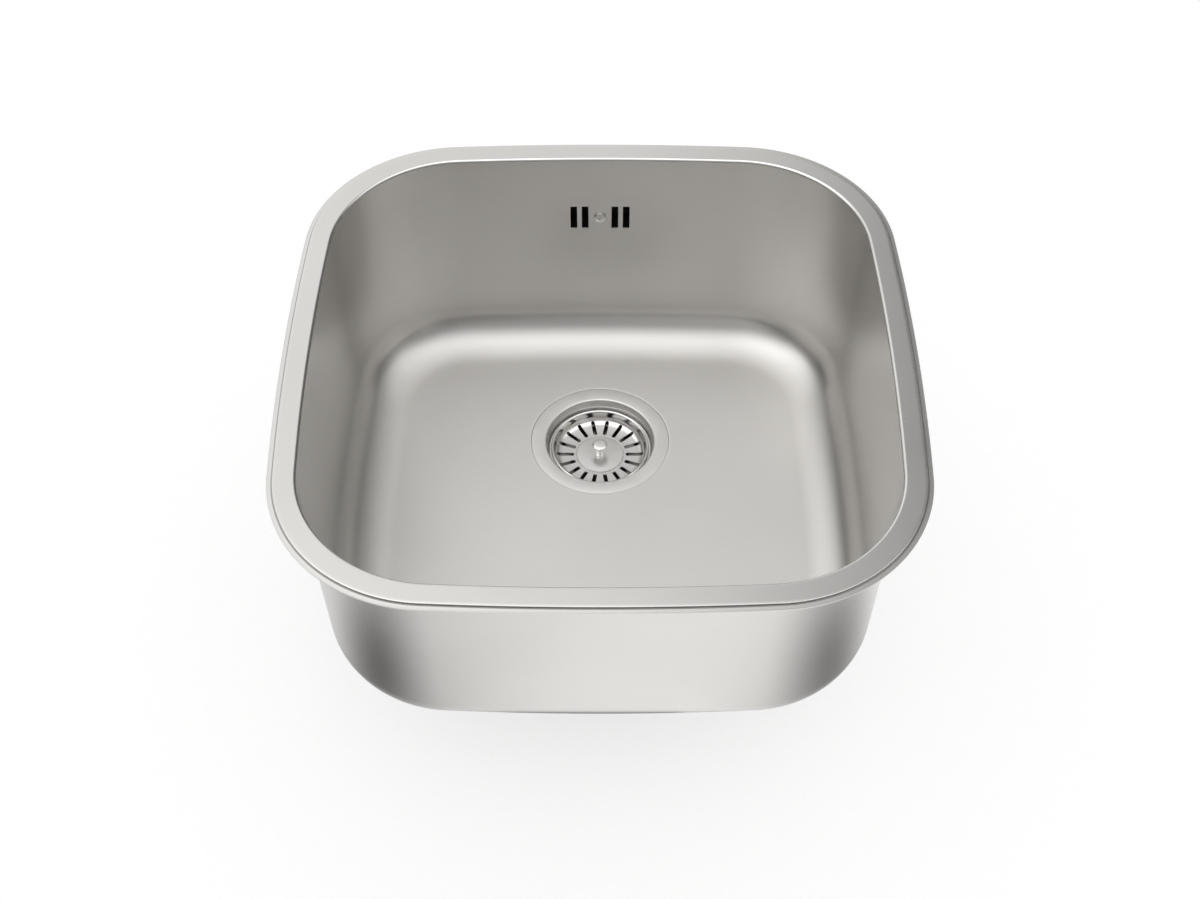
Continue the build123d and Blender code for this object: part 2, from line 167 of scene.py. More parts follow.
def alongGrid(grid):
    # How far each point of the grid lies along its row and down its column, in metres.
    down = np.linalg.norm(np.diff(grid, axis=0), axis=2)
    down = np.vstack([np.zeros((1, grid.shape[1])), np.cumsum(down, 0)])
    across = np.linalg.norm(np.roll(grid, -1, axis=1) - grid, axis=2)
    across = np.hstack([np.zeros((grid.shape[0], 1)), np.cumsum(across, 1)[:, :-1]])
    return np.stack([across, down], 2)


def closedSkin(name, grid, smoothUnder):
    # A closed skin whose rows of points come back to the first, or end on the axis at both ends.
    rows, columns = grid.shape[:2]
    return toMesh(name, grid, ringFaces(rows, columns).tolist(), alongGrid(grid), smoothUnder)


def sheetPiece(name, top, under, windows, coordinates=None):
    # Sheet between two skins of the same grid. windows marks cells that are cut out, and
    # each edge between a cut cell and a whole one, or the sheet's own end, gets a narrow wall.
    rows, columns = top.shape[:2]
    kept = ~windows
    cells = ringFaces(rows, columns).reshape(rows - 1, columns, 4)
    count = rows * columns
    faces = [cells[kept], cells[kept][:, ::-1] + count]
    solid = np.vstack([np.zeros((1, columns), bool), kept, np.zeros((1, columns), bool)])
    row, column = np.nonzero(solid[1:] != solid[:-1])
    after = (column + 1) % columns
    faces.append(np.stack([row * columns + column, row * columns + after,
                           row * columns + after + count, row * columns + column + count], 1))
    row, column = np.nonzero(kept != np.roll(kept, 1, axis=1))
    faces.append(np.stack([row * columns + column, (row + 1) * columns + column,
                           (row + 1) * columns + column + count, row * columns + column + count], 1))
    both = None if coordinates is None else np.concatenate([coordinates.reshape(-1, 2)] * 2)
    points = np.concatenate([top.reshape(-1, 3), under.reshape(-1, 3)])
    return toMesh(name, points, np.concatenate(faces).tolist(), both)


class Wire:
    # One output of a node. 1 - wire * 0.5 adds the Math nodes that work it out.
    def __init__(self, finish, node, output=0):
        self.finish, self.node, self.socket = finish, node, node.outputs[output]

    def out(self, name):
        return Wire(self.finish, self.node, name)

    def maths(self, operation, *values):
        return self.finish.add("Math", {"operation": operation}, dict(enumerate(values)))

    def __add__(self, other):
        return self.maths("ADD", self, other)

    def __radd__(self, other):
        return self.maths("ADD", other, self)

    def __sub__(self, other):
        return self.maths("SUBTRACT", self, other)

    def __rsub__(self, other):
        return self.maths("SUBTRACT", other, self)

    def __mul__(self, other):
        return self.maths("MULTIPLY", self, other)

    def __truediv__(self, other):
        return self.maths("DIVIDE", self, other)

    def __pow__(self, other):
        return self.maths("POWER", self, other)


class Finish:
    # The node tree of a material or of the world, while it is being written.
    def __init__(self, owner):
        owner.use_nodes = True
        self.owner, self.tree = owner, owner.node_tree
        self.tree.nodes.clear()

    def add(self, kind, settings=(), sockets=()):
        node = self.tree.nodes.new("ShaderNode" + kind)
        for name, value in dict(settings).items():
            setattr(node, name, value)
        for key, value in dict(sockets).items():
            if isinstance(value, Wire):
                self.tree.links.new(value.socket, node.inputs[key])
            else:
                node.inputs[key].default_value = value
        return Wire(self, node) if node.outputs else None

    def objectPlace(self, stretch=(1, 1, 1)):
        spot = self.add("TexCoord").out("Object")
        return self.add("Mapping", {}, {"Vector": spot, "Scale": stretch})

    def split(self, vector):
        parts = self.add("SeparateXYZ", {}, {0: vector})
        return parts.out("X"), parts.out("Y"), parts.out("Z")

    def noise(self, spot, scale, detail=2.0, roughness=0.5):
        sockets = {"Vector": spot, "Scale": scale, "Detail": detail, "Roughness": roughness}
        return self.add("TexNoise", {}, sockets)

    def mix(self, share, first, second):
        # a blend of two colours
        return self.add("Mix", {"data_type": "RGBA"}, {0: share, 6: first, 7: second}).out(2)

    def patches(self, value, ends, look):
        # the dark shade where the value is under both ends, and the light one where it is over them
        share = self.range(value, *ends, 0.0, 1.0)
        return self.mix(share, colour(*look["darkShade"]), colour(*look["shade"]))

    def range(self, value, low, high, newLow, newHigh):
        sockets = {"Value": value, "From Min": low, "From Max": high, "To Min": newLow, "To Max": newHigh}
        return self.add("MapRange", {"interpolation_type": "SMOOTHSTEP"}, sockets)

    def bump(self, height, distance, strength):
        return self.add("Bump", {}, {"Height": height, "Distance": distance, "Strength": strength})

    def close(self, surface):
        self.add("OutputMaterial", {}, {"Surface": surface})
        return self.owner


def newFinish(name):
    return Finish(bpy.data.materials.new(name))


def colour(red, green, blue):
    return (red, green, blue, 1)


def grey(shade):
    return (shade, shade, shade, 1)


# The satin stainless sheet of the bowl, and how its colour and gloss wander.
bowlFinish = {
    "shade": (0.655, 0.643, 0.624), "darkShade": (0.630, 0.619, 0.600),
    "wallRoughness": 0.33, "floorRoughness": 0.54, "rimRoughness": 0.26, "filletRoughness": 0.30,
    "roughnessWander": 0.04,
    "wallSpread": 0.30,                      # how much the upright brushing of the walls spreads reflections
    "cloudScale": 7.0, "patchEnds": (0.35, 0.65),
    "grainScale": 900.0, "grainStretch": (1, 1, 0.15), "grainDepth": 0.000001, "grainStrength": 0.5,
    # painted shadow: a darker line along the rim's step, by distance from the rim's outer edge
    "groove": (0.0030, 0.0052), "grooveFade": 0.0003, "paintedGrooveShadow": (0.34, 0.335, 0.325),
    # where one finish turns into the next, by how level the sheet is: 0 on a wall and 1 on the floor
    "wallToFillet": (0.12, 0.45), "filletToFloor": (0.45, 0.80), "brushedToPlain": (0.60, 0.98),
    "floorToRim": (-0.03, -0.01),            # heights between which the floor's finish turns into the rim's
}


def makeBowlSteel():
    # The brushed wall and the plain floor and rim are two surfaces, mixed by how level the sheet is.
    finish = newFinish("bowlSteel")
    look = bowlFinish
    cloud = finish.noise(finish.objectPlace(), look["cloudScale"], detail=3.0)
    grain = finish.noise(finish.objectPlace(look["grainStretch"]), look["grainScale"])
    inward = finish.split(finish.add("UVMap", {"uv_map": "surface"}))[1]
    # painted shadow: the colour darkens along the rim's step, where the groove lies in shade
    start, end = look["groove"]
    fade = look["grooveFade"]
    groove = finish.range(inward, start - fade, start + fade, 0.0, 1.0)
    groove = groove * finish.range(inward, end - fade, end + fade, 1.0, 0.0)
    shade = finish.mix(groove, finish.patches(cloud, look["patchEnds"], look), colour(*look["paintedGrooveShadow"]))
    upright = finish.split(finish.add("NewGeometry").out("Normal"))[2]
    level = upright.maths("ABSOLUTE", upright)
    height = finish.split(finish.objectPlace())[2]
    wander = (cloud - 0.5) * look["roughnessWander"] + (grain - 0.5) * look["roughnessWander"]
    fillet = look["filletRoughness"]
    wallRough = finish.range(level, *look["wallToFillet"], look["wallRoughness"], fillet) + wander
    plainRough = finish.range(height, *look["floorToRim"], look["floorRoughness"], look["rimRoughness"])
    plainRough = finish.range(level, *look["filletToFloor"], fillet, plainRough) + wander
    normal = finish.bump(grain, look["grainDepth"], look["grainStrength"])
    common = {"Base Color": shade, "Metallic": 1.0, "Normal": normal}
    brushed = {**common, "Roughness": wallRough, "Anisotropic": look["wallSpread"]}
    wall = finish.add("BsdfPrincipled", {}, brushed)
    plain = finish.add("BsdfPrincipled", {}, {**common, "Roughness": plainRough})
    share = finish.range(level, *look["brushedToPlain"], 0.0, 1.0)
    return finish.close(finish.add("MixShader", {}, {0: share, 1: wall, 2: plain}))


# Spun and polished steel of the waste. Between the edge's two radii the roughness changes to the edge's,
# and below the shadow heights the colour turns darker: painted shade, deep in the waste.
turnedSteels = {
    "wasteSteel": {
        "shade": (0.665, 0.655, 0.640), "darkShade": (0.63, 0.62, 0.605), "roughness": 0.25,
        "edge": (0.042, 0.045), "edgeRoughness": 0.46,
        "shadowHeights": (-0.2080, -0.2040), "paintedShadowShade": (0.24, 0.235, 0.23),
    },
    "basketSteel": {
        "shade": (0.72, 0.71, 0.70), "darkShade": (0.68, 0.67, 0.66), "roughness": 0.30,
        "edge": (0.030, 0.036), "edgeRoughness": 0.16,
        "shadowHeights": (-0.2075, -0.2065), "paintedShadowShade": (0.70, 0.69, 0.68),
    },
}
turnedMarks = {
    "ringScale": 1900.0, "ringDepth": 0.000005, "ringStrength": 0.4, "ringRoughness": 0.04,
    "cloudScale": 60.0, "cloudRoughness": 0.05, "patchEnds": (0.35, 0.65),
    "ringShare": 0.5,                        # the part of the colour's patches that comes from the rings
}


def makeTurnedSteel(name, look):
    # Faint rings come from a noise on two numbers: the distance from the waste's axis, and the height.
    finish = newFinish(name)
    marks = turnedMarks
    spot = finish.add("TexCoord").out("Object")
    middle = (0, wasteAxis[1] * millimetre, 0)
    fromAxis = finish.add("VectorMath", {"operation": "SUBTRACT"}, {0: spot, 1: middle})
    across, along, height = finish.split(fromAxis)
    radius = (across * across + along * along) ** 0.5
    turnedSpot = finish.add("CombineXYZ", {}, {0: radius, 1: height})
    rings = finish.noise(turnedSpot, marks["ringScale"], detail=3.0, roughness=0.6)
    cloud = finish.noise(finish.objectPlace(), marks["cloudScale"])
    share = marks["ringShare"]
    shade = finish.patches(cloud * (1 - share) + rings * share, marks["patchEnds"], look)
    # painted shade: darker below the shadow heights
    shade = finish.mix(finish.range(height, *look["shadowHeights"], 1.0, 0.0), shade, colour(*look["paintedShadowShade"]))
    rough = finish.range(radius, *look["edge"], look["roughness"], look["edgeRoughness"])
    rough = rough + (cloud - 0.5) * marks["cloudRoughness"] + (rings - 0.5) * marks["ringRoughness"]
    normal = finish.bump(rings, marks["ringDepth"], marks["ringStrength"])
    sockets = {"Base Color": shade, "Roughness": rough, "Metallic": 1.0, "Normal": normal}
    return finish.close(finish.add("BsdfPrincipled", {}, sockets))


# Polished metal of the small parts, with a little unevenness.
plainMetals = {
    "knobSteel": {"shade": (0.74, 0.73, 0.71), "darkShade": (0.70, 0.69, 0.67), "roughness": 0.34},
    "smallSteel": {"shade": (0.76, 0.75, 0.74), "darkShade": (0.70, 0.69, 0.68), "roughness": 0.13},
    "brass": {"shade": (0.74, 0.56, 0.28), "darkShade": (0.62, 0.45, 0.20), "roughness": 0.26},
}
metalMarks = {
    "cloudScale": 140.0, "patchEnds": (0.35, 0.65), "roughnessWander": 0.06,
    "dentDepth": 0.00002, "dentStrength": 0.3,
}


def makePlainMetal(name, look):
    finish = newFinish(name)
    marks = metalMarks
    cloud = finish.noise(finish.objectPlace(), marks["cloudScale"], detail=3.0)
    rough = look["roughness"] + (cloud - 0.5) * marks["roughnessWander"]
    shade = finish.patches(cloud, marks["patchEnds"], look)
    normal = finish.bump(cloud, marks["dentDepth"], marks["dentStrength"])
    sockets = {"Base Color": shade, "Roughness": rough, "Metallic": 1.0, "Normal": normal}
    return finish.close(finish.add("BsdfPrincipled", {}, sockets))


# Moulded plastic: fine spark-eroded grain, with flow marks along its height.
plastics = {
    "wastePlastic": {
        "shade": (0.80, 0.80, 0.785), "darkShade": (0.74, 0.74, 0.725),
        "roughness": 0.42, "grainDepth": 0.00003,
    },
    "housingPlastic": {
        "shade": (0.045, 0.045, 0.046), "darkShade": (0.028, 0.028, 0.028),
        "roughness": 0.5, "grainDepth": 0.00003,
    },
    "nutPlastic": {
        "shade": (0.74, 0.74, 0.73), "darkShade": (0.67, 0.67, 0.66),
        "roughness": 0.38, "grainDepth": 0.00003,
    },
    "hosePlastic": {
        "shade": (0.58, 0.59, 0.60), "darkShade": (0.50, 0.51, 0.52),
        "roughness": 0.45, "grainDepth": 0.00004,
    },
}
plasticMarks = {
    "cloudScale": 28.0, "patchEnds": (0.3, 0.7), "roughnessWander": 0.12,
    "grainScale": 2200.0, "grainStrength": 0.5, "flowStretch": (30, 30, 260),
    "flowInShade": 0.3, "flowInRelief": 0.4,            # the flow marks' share of the colour and of the bumps
}


def makePlastic(name, look):
    finish = newFinish(name)
    marks = plasticMarks
    spot = finish.objectPlace()
    cloud = finish.noise(spot, marks["cloudScale"], detail=4.0, roughness=0.6)
    grain = finish.noise(spot, marks["grainScale"])
    flow = finish.noise(finish.objectPlace(marks["flowStretch"]), 1.0)
    rough = look["roughness"] + (cloud - 0.5) * marks["roughnessWander"]
    share = marks["flowInShade"]
    shade = finish.patches(cloud * (1 - share) + flow * share, marks["patchEnds"], look)
    share = marks["flowInRelief"]
    relief = grain * (1 - share) + flow * share
    normal = finish.bump(relief, look["grainDepth"], marks["grainStrength"])
    sockets = {"Base Color": shade, "Roughness": rough, "Normal": normal}
    return finish.close(finish.add("BsdfPrincipled", {}, sockets))


# Matt rubber with fine pores, and a little dust in patches.
rubbers = {
    "sealRubber": {
        "shade": (0.055, 0.054, 0.052), "darkShade": (0.022, 0.022, 0.022),
        "roughness": 0.62, "poreDepth": 0.00005,
    },
    "dampingRubber": {
        "shade": (0.12, 0.12, 0.125), "darkShade": (0.065, 0.065, 0.07),
        "roughness": 0.78, "poreDepth": 0.0002,
    },
}
rubberMarks = {
    "cloudScale": 45.0, "patchEnds": (0.5, 0.8), "roughnessWander": 0.2,
    "poreScale": 1500.0, "poreStrength": 0.6, "gloss": 0.35,
}


def makeRubber(name, look):
    finish = newFinish(name)
    marks = rubberMarks
    spot = finish.objectPlace()
    cloud = finish.noise(spot, marks["cloudScale"], detail=4.0, roughness=0.6)
    pores = finish.noise(spot, marks["poreScale"], detail=3.0, roughness=0.6)
    rough = look["roughness"] + (cloud - 0.5) * marks["roughnessWander"]
    shade = finish.patches(cloud, marks["patchEnds"], look)
    normal = finish.bump(pores, look["poreDepth"], marks["poreStrength"])
    sockets = {"Base Color": shade, "Roughness": rough, "Normal": normal,
               "Specular IOR Level": marks["gloss"]}
    return finish.close(finish.add("BsdfPrincipled", {}, sockets))


finishes = {"bowlSteel": makeBowlSteel()}
families = [
    (turnedSteels, makeTurnedSteel),
    (plainMetals, makePlainMetal),
    (plastics, makePlastic),
    (rubbers, makeRubber),
]
for family, makeOne in families:
    for finishName, values in family.items():
        finishes[finishName] = makeOne(finishName, values)
print("finishes made:", len(finishes))


def dress(piece, finishName, body, slotName, *nodes):
    # Gives a new piece its finish and its body, and hides the nodes it stands for. The slot's name is not
    # used.
    piece.data.materials.clear()
    piece.data.materials.append(finishes[finishName])
    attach(piece, body)
    if nodes:
        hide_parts(*nodes)
    return piece


# The bowl: one pressed steel sheet. Half sizes and bows are left to right, then front to back.
bowlSizes = {
    "sheet": 1.0,
    "rimHalf": (227.8, 229.0), "rimCorner": 115.4, "rimBow": (11.4, 10.3),
    "openingHalf": (207.8, 208.8), "openingCorner": 98.0, "openingBow": (9.6, 8.9),
    "bandWidth": 4.0, "bandStep": 1.8, "stepRadius": 0.45, "grooveRadius": 0.2,
    "roll": 2.2, "draft": 2.0, "fillet": 38.0, "floor": -187.3,
    "recess": 57.08, "recessFloor": -190.6, "wasteHole": 45.0, "recessRadius": 0.3,
    "slotX": (-21.5, -12.2, 12.2, 21.5), "slotSize": (5.5, 22.6), "slotZ": -59.7,
    # short level runs beyond the step, before the roll, after the fillet and before the recess
    "stepRun": 2.5, "rollRun": 0.6, "filletRun": 1.0, "recessRun": 2.0,
    "slotInset": 4.0,                        # the inset where the columns beside the slots have their exact x
    "wallStops": (-20.0, -95.0, -120.0),     # heights of extra rows down the wall
    "floorRows": 8, "halfSideColumns": 7, "cornerColumns": 34,
}


def bowedOutline(half, corner, bow):
    # A rounded square with bowed sides, as three arcs in each quarter: half a side, a corner, half a side.
    # Every point is its arc's centre plus the arc's radius times the direction that it faces, so an inset
    # outline only has shorter radii. A corner touches both sides, so its distance from each side's centre
    # is that side's radius less the corner's own.
    spanX, spanY = half[0] - bow[0], half[1] - bow[1]
    sideX = (spanY ** 2 + bow[0] ** 2) / (2 * bow[0])       # radius of the left and right sides
    sideY = (spanX ** 2 + bow[1] ** 2) / (2 * bow[1])       # radius of the front and back sides
    centreX, centreY = half[0] - sideX, half[1] - sideY
    reachX, reachY = sideX - corner, sideY - corner
    apart = hypot(centreX, centreY)
    along = (reachX ** 2 - reachY ** 2 + apart ** 2) / (2 * apart)
    aside = (reachX ** 2 - along ** 2) ** 0.5
    towards = np.array([-centreX, centreY]) / apart
    across = np.array([-towards[1], towards[0]])
    middle = np.array([centreX, 0]) + along * towards
    x, y = max(middle + aside * across, middle - aside * across, key=sum)
    low, high = atan2(y, x - centreX), atan2(y - centreY, x)
    quarter = [
        ((centreX, 0), sideX, (0.0, low), True),
        ((x, y), corner, (low, high), False),
        ((0, centreY), sideY, (high, pi / 2), True),
    ]
    arcs = []
    for signX, signY, flip in ((1, 1, False), (-1, 1, True), (-1, -1, False), (1, -1, True)):
        mirrored = []
        for (centreAcross, centreAlong), radius, ends, isSide in quarter:
            angles = np.array(ends)
            angles = angles if signX > 0 else pi - angles
            angles = angles if signY > 0 else -angles
            angles = angles[::-1] if flip else angles
            mirrored.append(((centreAcross * signX, centreAlong * signY), radius, angles, isSide))
        arcs += mirrored[::-1] if flip else mirrored
    return arcs


def outlineColumns(arcs, sizes, stops):
    # Samples each arc evenly, the short way round, and adds the stops, which are places x on the back side.
    # Returns each column's arc centre, its radius and the direction that it faces.
    centres, radii, directions = [], [], []
    for centre, radius, (start, end), isSide in arcs:
        count = sizes["halfSideColumns"] if isSide else sizes["cornerColumns"]
        end = start + ((end - start + pi) % (2 * pi) - pi)
        angles = start + (end - start) * np.arange(count) / count
        if isSide and centre[1] < 0:
            extra = np.arccos(np.array(stops) / (radius - sizes["slotInset"]))
            inside = (extra > min(start, end)) & (extra < max(start, end))
            angles = np.sort(np.concatenate([angles, extra[inside]]))
        centres.append(np.tile(centre, (len(angles), 1)))
        radii.append(np.full(len(angles), radius))
        directions.append(angles)
    return np.concatenate(centres), np.concatenate(radii), np.concatenate(directions)


def atHeights(flat, heights):
    # Rows of points x, y and a height for each row.
    return np.dstack([flat, np.broadcast_to(heights[:, None, None], (*flat.shape[:2], 1))])


def outlineRows(columns, line):
    # Rows of points: the outline inset by the line's first number, at the height of its second.
    centres, radii, angles = columns
    facing = np.stack([np.cos(angles), np.sin(angles)], 1)
    return atHeights(centres + (radii - line[:, :1])[..., None] * facing, line[:, 1])


def recessRows(foot, line):
    # Rows round the waste: each point lies on the ray from the waste's axis to a point of the wall's foot,
    # minus the line's first number from the axis, at the height of its second.
    axis = np.array(wasteAxis[:2])
    ray = foot[:, :2] - axis
    ray /= np.linalg.norm(ray, axis=1)[:, None]
    return atHeights(axis - line[:, :1, None] * ray, line[:, 1])


def bowlLines(sizes):
    # Three lines of inset and height, each with its steps to the other side. The roll starts its own radius
    # outside the opening, and topIn and floorIn are the insets of the sloping wall's line at the heights of
    # the rim and the floor.
    step = sizes["bandWidth"]
    rim = roundLine(
        [(0, -sizes["bandStep"]), (step, -sizes["bandStep"]), (step, 0), (step + sizes["stepRun"], 0)],
        [sizes["grooveRadius"], sizes["stepRadius"]], steps=6)
    draft = radians(sizes["draft"])
    topIn = sizes["roll"] * (cos(draft) - 1) - sizes["roll"] * (1 - sin(draft)) * tan(draft)
    floorIn = topIn - sizes["floor"] * tan(draft)
    wall = roundLine(
        [(-sizes["roll"] - sizes["rollRun"], 0), (topIn, 0), (floorIn, sizes["floor"]),
         (floorIn + sizes["fillet"] + sizes["filletRun"], sizes["floor"])],
        [sizes["roll"], sizes["fillet"]], steps=28)
    slotEnds = [sizes["slotZ"] + side * sizes["slotSize"][1] / 2 for side in (-1, 1)]
    wall = withStops(*wall, [*slotEnds, *sizes["wallStops"]], 1)
    recess = roundLine(
        [(-sizes["recess"] - sizes["recessRun"], sizes["floor"]), (-sizes["recess"], sizes["floor"]),
         (-sizes["recess"], sizes["recessFloor"]), (-sizes["wasteHole"], sizes["recessFloor"])],
        [sizes["recessRadius"], sizes["recessRadius"]], steps=5)
    return rim, wall, recess


def slotWindows(top, sizes):
    # The cells of the back wall whose middle lies in a slot.
    pairs = top[:-1] + top[1:]
    x, y, z = np.moveaxis((pairs + np.roll(pairs, -1, axis=1)) / 4, 2, 0)
    width, height = sizes["slotSize"]
    across = np.any([abs(x - slot) < width / 2 for slot in sizes["slotX"]], axis=0)
    return across & (abs(z - sizes["slotZ"]) < height / 2) & (y > 0)


def makeBowl():
    # Both sides of the sheet are the same rows of points: rim, wall, floor and recess. The floor's rows lie
    # evenly between the wall's foot and the recess.
    sizes = bowlSizes
    width = sizes["slotSize"][0]
    stops = sorted(x + side * width / 2 for x in sizes["slotX"] for side in (-1, 1))
    opening = bowedOutline(sizes["openingHalf"], sizes["openingCorner"], sizes["openingBow"])
    edge = bowedOutline(sizes["rimHalf"], sizes["rimCorner"], sizes["rimBow"])
    opening, edge = outlineColumns(opening, sizes, stops), outlineColumns(edge, sizes, stops)
    (rimLine, rimSide), (wallLine, wallSide), (recessLine, recessSide) = bowlLines(sizes)
    share = np.linspace(0, 1, sizes["floorRows"] + 2)[1:-1, None, None]
    skins = []
    for offset in (0, sizes["sheet"]):
        rim = outlineRows(edge, rimLine - rimSide * offset)
        wall = outlineRows(opening, wallLine - wallSide * offset)
        recess = recessRows(wall[-1], recessLine - recessSide * offset)
        floor = wall[-1] + (recess[0] - wall[-1]) * share
        skins.append(np.concatenate([rim, wall, floor, recess]))
    top, under = skins
    bowl = sheetPiece("bowlSheet", place(top), place(under), slotWindows(top, sizes), alongGrid(place(top)))
    return dress(bowl, "bowlSteel", "sink", "bowl_steel", "bowl")


makeBowl()
print("bowl made")


# The waste cup: a pressed flange, a throat, a shelf for the strainer's rim and a floor with four outlets.
# Corners are radius and height from the flange's top, round an upright axis through the waste.
cupSizes = {
    "sheet": 1.0,
    "corners": [(57.0, -2.7), (57.0, 0.0), (44.6, 0.0), (42.3, -10.7), (39.6, -10.7), (39.6, -26.0),
                (18.0, -26.0), (18.0, -31.5), (6.2, -31.5)],
    "radii": [0.3, 1.5, 0.5, 0.9, 3.0, 1.2, 1.4],
    "outlets": (8.6, 15.2), "spoke": 5.0,
    "spokeReach": 1.2,                       # how far out columns keep to the spokes, in outer outlet radii
    "windowColumns": 24, "spokeColumns": 4,
}


def makeWasteCup():
    # Each quarter's columns keep the spoke's edges straight: the angle is asin(half the spoke / radius).
    sizes = cupSizes
    line, side = sheetLine(sizes["corners"], sizes["radii"], sizes["sheet"])
    line, side = withStops(line, side, sizes["outlets"], 0)
    inner, outer = sizes["outlets"]
    edge = np.arcsin(sizes["spoke"] / 2 / np.clip(line[:, :1], inner, sizes["spokeReach"] * outer))
    spoke = np.linspace(-1, 1, sizes["spokeColumns"] + 1)[:-1] * edge
    window = edge + np.linspace(0, 1, sizes["windowColumns"] + 1)[:-1] * (pi / 2 - 2 * edge)
    one = np.concatenate([spoke, window], 1)
    angles = np.concatenate([one + quarter * pi / 2 for quarter in range(4)], 1)
    top, under = turned(line, angles), turned(line + side * sizes["sheet"], angles)
    top, under = place(top, wasteAxis), place(under, wasteAxis)
    middle = (line[:-1, 0] + line[1:, 0]) / 2
    rows = (middle > inner) & (middle < outer)
    columns = np.arange(angles.shape[1]) % one.shape[1] >= sizes["spokeColumns"]
    cup = sheetPiece("wasteCup", top, under, rows[:, None] & columns)
    return dress(cup, "wasteSteel", "sink", "waste_steel", "drain_cup")


makeWasteCup()
print("waste cup made")


# The strainer: a basket with a rolled rim, a raised disc and round-ended slots that climb its corner.
basketSizes = {
    "sheet": 0.8,
    "corners": [(40.6, -10.2), (40.6, -7.6), (38.2, -7.6), (38.2, -18.4), (20.1, -18.4), (19.9, -19.1),
                (19.5, -19.1), (19.3, -17.9), (2.9, -17.9)],
    "radii": [1.15, 1.15, 6.0, 0.1, 0.1, 0.1, 0.15],
    "slots": 18, "slotRadii": (21.5, 36.2), "slotWidth": 3.3, "endSteps": 6,
    "slotColumns": 2, "columns": 8,
}


def makeBasket():
    # A slot's edge lies at the angle asin(half width / radius), and its half width follows a half circle
    # at both ends. Outside the slots the columns are spread evenly.
    sizes = basketSizes
    inner, outer = sizes["slotRadii"]
    half = sizes["slotWidth"] / 2
    ends = half * (1 - np.cos(np.linspace(0, pi / 2, sizes["endSteps"] + 1)))
    line, side = sheetLine(sizes["corners"], sizes["radii"], sizes["sheet"], steps=9)
    line, side = withStops(line, side, [*(inner + ends), *(outer - ends)], 0)
    radius = line[:, 0]
    depth = np.clip(np.minimum(radius - inner, outer - radius), 0, half)
    width = np.sqrt(half ** 2 - (half - depth) ** 2)
    inSlot = (radius > inner - slack) & (radius < outer + slack)
    pitch = 2 * pi / sizes["slots"]
    even = pitch * sizes["slotColumns"] / sizes["columns"] / 2
    edge = np.where(inSlot, np.arcsin(width / radius), even)[:, None]
    across = np.linspace(-1, 1, sizes["slotColumns"] + 1)[:-1] * edge
    between = edge + np.linspace(0, 1, sizes["columns"] - sizes["slotColumns"] + 1)[:-1] * (pitch - 2 * edge)
    one = np.concatenate([across, between], 1)
    angles = np.concatenate([one + pi / 2 + (slot + 0.5) * pitch for slot in range(sizes["slots"])], 1)
    top, under = turned(line, angles), turned(line + side * sizes["sheet"], angles)
    rows = inSlot[:-1] & inSlot[1:]
    columns = np.arange(angles.shape[1]) % sizes["columns"] < sizes["slotColumns"]
    top, under = place(top, wasteAxis), place(under, wasteAxis)
    basket = sheetPiece("strainerBasket", top, under, rows[:, None] & columns)
    return dress(basket, "basketSteel", "strainer", "polished_steel", "basket")


makeBasket()
print("strainer made")


# The knob: a mushroom with a low dome, a conical underside, a neck and a bore for the stem.
knobSizes = {
    "corners": [(0.0, -4.9), (5.2, -5.1), (6.2, -6.0), (6.2, -6.8), (3.2, -11.4), (3.2, -13.3), (2.9, -13.3),
                (2.9, -12.35), (0.0, -12.35)],
    "radii": [3.0, 0.6, 0.5, 1.6, 0.3, 0.1, 0.1],
    "columns": 72,
}


def makeKnob():
    sizes = knobSizes
    line = roundLine(sizes["corners"], sizes["radii"], steps=7)[0]
    grid = place(turned(line, evenAngles(sizes["columns"])), wasteAxis)
    knob = closedSkin("strainerKnob", grid, smoothUnder=50)
    return dress(knob, "knobSteel", "plug", "polished_steel", "basket_knob")


makeKnob()
print("knob made")


# The overflow's screw: a domed head with a cross recess, between the two pairs of slots.
screwSizes = {
    "faceY": 206.72, "height": -59.7, "headRadius": 4.95, "rimHeight": 0.75, "sideHeight": 0.65,
    "domeHeight": 1.7, "domeRadius": 5.15, "root": 0.5, "shankRadius": 2.4, "shankEnd": 226.0,
    "crossReach": 2.6, "crossHalf": 0.55, "crossDepth": 1.3, "crossSlope": 0.35,
    "rings": 44, "columns": 128,
}


def makeOverflowScrew():
    # Height over the wall is an ellipse's arc over the radius, less the recess, whose depth grows with
    # the distance inside the nearer of two crossed bars. Then the head's side, its back and the shank.
    sizes = screwSizes
    angles = evenAngles(sizes["columns"])
    radius = np.linspace(0, sizes["headRadius"], sizes["rings"])[:, None]
    x, z = radius * np.cos(angles), radius * np.sin(angles)
    dome = sizes["rimHeight"] + sizes["domeHeight"] * np.sqrt(1 - (radius / sizes["domeRadius"]) ** 2)
    upright = np.maximum(abs(x) - sizes["crossHalf"], abs(z) - sizes["crossReach"])
    level = np.maximum(abs(z) - sizes["crossHalf"], abs(x) - sizes["crossReach"])
    inside = np.clip(-np.minimum(upright, level) / sizes["crossSlope"], 0, 1)
    out = dome - sizes["crossDepth"] * inside
    head = np.stack([x, sizes["faceY"] - out, z + sizes["height"]], 2)
    shankDepth = sizes["faceY"] - sizes["shankEnd"]
    back = [(sizes["headRadius"], sizes["sideHeight"]), (sizes["headRadius"], -sizes["root"]),
            (sizes["shankRadius"], -sizes["root"]), (sizes["shankRadius"], shankDepth), (0.0, shankDepth)]
    for reach, over in back:
        x, z = reach * np.cos(angles), reach * np.sin(angles)
        ring = np.stack([x, np.full(len(angles), sizes["faceY"] - over), z + sizes["height"]], 1)
        head = np.concatenate([head, ring[None]])
    screw = closedSkin("overflowScrewHead", place(head), smoothUnder=40)
    return dress(screw, "knobSteel", "sink", "polished_steel", "overflow_screw")


makeOverflowScrew()
print("overflow screw made")


